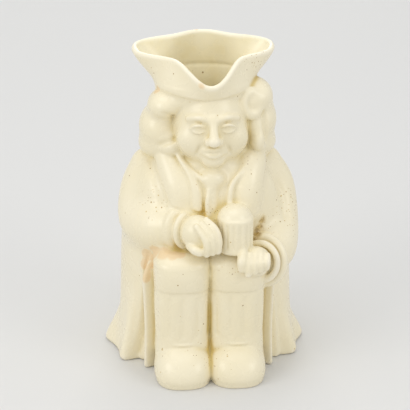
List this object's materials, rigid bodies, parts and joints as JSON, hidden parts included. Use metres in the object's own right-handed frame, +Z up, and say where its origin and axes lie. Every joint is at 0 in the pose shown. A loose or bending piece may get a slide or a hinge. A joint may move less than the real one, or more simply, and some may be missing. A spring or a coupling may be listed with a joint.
{
  "type": "toby jug",
  "caption": "Hollow jug shaped as a seated man in a long coat, full wig and three-cornered hat, whose brim pours, with a fluted mug on the knee and a loop handle behind.",
  "frame": {"origin": "middle of the bounding box's underside, on the surface that the jug stands on", "axes": "+Z up, the figure faces -Y with its handle towards +Y, and +X is to the right of someone who faces the figure"},
  "size_m": [0.1464, 0.1644, 0.228],
  "materials": {
    "cream_glaze": "glossy cream lead glaze over pale peach earthenware"
  },
  "bodies": {
    "root": {"toby_jug": "cream_glaze"}
  },
  "joints": []
}
